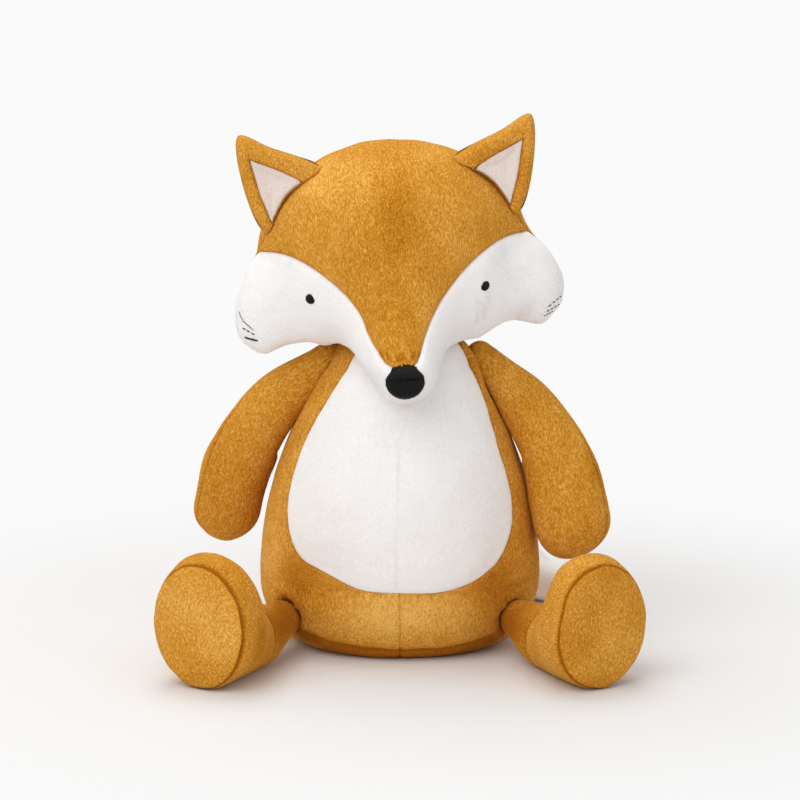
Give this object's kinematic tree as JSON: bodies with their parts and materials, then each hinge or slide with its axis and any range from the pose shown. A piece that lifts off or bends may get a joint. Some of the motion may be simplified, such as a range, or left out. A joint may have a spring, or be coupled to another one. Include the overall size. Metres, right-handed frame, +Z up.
{
  "type": "plush fox",
  "caption": "Seated plush fox with a stuffed head, torso, arms, legs and tail, stitched face and flat base panel.",
  "frame": {"origin": "middle of the flat base panel, on the surface that the fox sits on", "axes": "+Z up, -Y the way the fox faces, +X to the right of someone who looks at its face"},
  "size_m": [0.267, 0.2612, 0.3015],
  "materials": {
    "mustard_pile": "short mustard pile, soft sheen",
    "white_pile": "short off-white pile, soft sheen",
    "ear_velour": "short warm white velour",
    "base_cloth": "short mustard pile, pressed flat",
    "black_thread": "black satin embroidery thread",
    "fibre_fill": "loose white polyester fibre",
    "bag_calico": "plain woven calico bag of pellets"
  },
  "bodies": {
    "torso": {"belly_left": "white_pile", "belly_right": "white_pile", "front_left": "mustard_pile", "front_right": "mustard_pile", "back_left": "mustard_pile", "back_right": "mustard_pile", "base_panel": "base_cloth", "torso_stuffing": "fibre_fill", "pellet_bag": "bag_calico"},
    "neck": {"neck_wad": "fibre_fill"},
    "head": {"crown_gusset": "mustard_pile", "cheek_left": "white_pile", "cheek_right": "white_pile", "head_back_left": "mustard_pile", "head_back_right": "mustard_pile", "head_stuffing": "fibre_fill", "nose": "black_thread", "eye_left": "black_thread", "eye_right": "black_thread", "whisker_left_1": "black_thread", "whisker_left_2": "black_thread", "whisker_left_3": "black_thread", "whisker_right_1": "black_thread", "whisker_right_2": "black_thread", "whisker_right_3": "black_thread"},
    "ear_left": {"ear_lining_left": "ear_velour", "ear_rim_left": "mustard_pile", "ear_back_left": "mustard_pile"},
    "ear_right": {"ear_lining_right": "ear_velour", "ear_rim_right": "mustard_pile", "ear_back_right": "mustard_pile"},
    "arm_left": {"arm_left_front": "mustard_pile", "arm_left_back": "mustard_pile", "arm_left_stuffing": "fibre_fill"},
    "arm_right": {"arm_right_front": "mustard_pile", "arm_right_back": "mustard_pile", "arm_right_stuffing": "fibre_fill"},
    "leg_left": {"leg_left_tube": "mustard_pile", "leg_left_foot": "mustard_pile", "leg_left_sole": "mustard_pile", "leg_left_stuffing": "fibre_fill"},
    "leg_right": {"leg_right_tube": "mustard_pile", "leg_right_foot": "mustard_pile", "leg_right_sole": "mustard_pile", "leg_right_stuffing": "fibre_fill"},
    "tail": {"tail_base": "mustard_pile", "tail_tip": "white_pile", "tail_stuffing": "fibre_fill"}
  },
  "joints": [
    {"name": "neck_turn", "type": "hinge", "parent": "torso", "child": "neck", "pos_m": [0, 0, 0.145], "axis": [0, 0, 1], "range_deg": [-25, 25]},
    {"name": "neck_nod", "type": "hinge", "parent": "neck", "child": "head", "pos_m": [0, 0, 0.145], "axis": [1, 0, 0], "range_deg": [-15, 10]},
    {"name": "ear_left_flop", "type": "hinge", "parent": "head", "child": "ear_left", "pos_m": [-0.06126, -0.01962, 0.25606], "axis": [0.6611, 0.0173, 0.7501], "range_deg": [-5, 5], "stiffness_Nm_per_rad": 0.02},
    {"name": "ear_right_flop", "type": "hinge", "parent": "head", "child": "ear_right", "pos_m": [0.04931, -0.01672, 0.26418], "axis": [0.7635, 0.02, -0.6455], "range_deg": [-5, 5], "stiffness_Nm_per_rad": 0.02},
    {"name": "arm_left_swing", "type": "hinge", "parent": "torso", "child": "arm_left", "pos_m": [-0.04986, 0, 0.14428], "axis": [-0.8818, 0, 0.4716], "range_deg": [-20, 40]},
    {"name": "arm_right_swing", "type": "hinge", "parent": "torso", "child": "arm_right", "pos_m": [0.04986, 0, 0.14428], "axis": [-0.8818, 0, -0.4716], "range_deg": [-35, 15]},
    {"name": "leg_left_lift", "type": "hinge", "parent": "torso", "child": "leg_left", "pos_m": [-0.06684, -0.03866, 0.0205], "axis": [-0.8616, 0.5075, 0], "range_deg": [-20, 20]},
    {"name": "leg_right_lift", "type": "hinge", "parent": "torso", "child": "leg_right", "pos_m": [0.06684, -0.03866, 0.0205], "axis": [-0.8616, -0.5075, 0], "range_deg": [-20, 20]},
    {"name": "tail_wag", "type": "hinge", "parent": "torso", "child": "tail", "pos_m": [0, 0.07005, 0.026], "axis": [0, 0, 1], "range_deg": [-15, 20]}
  ]
}
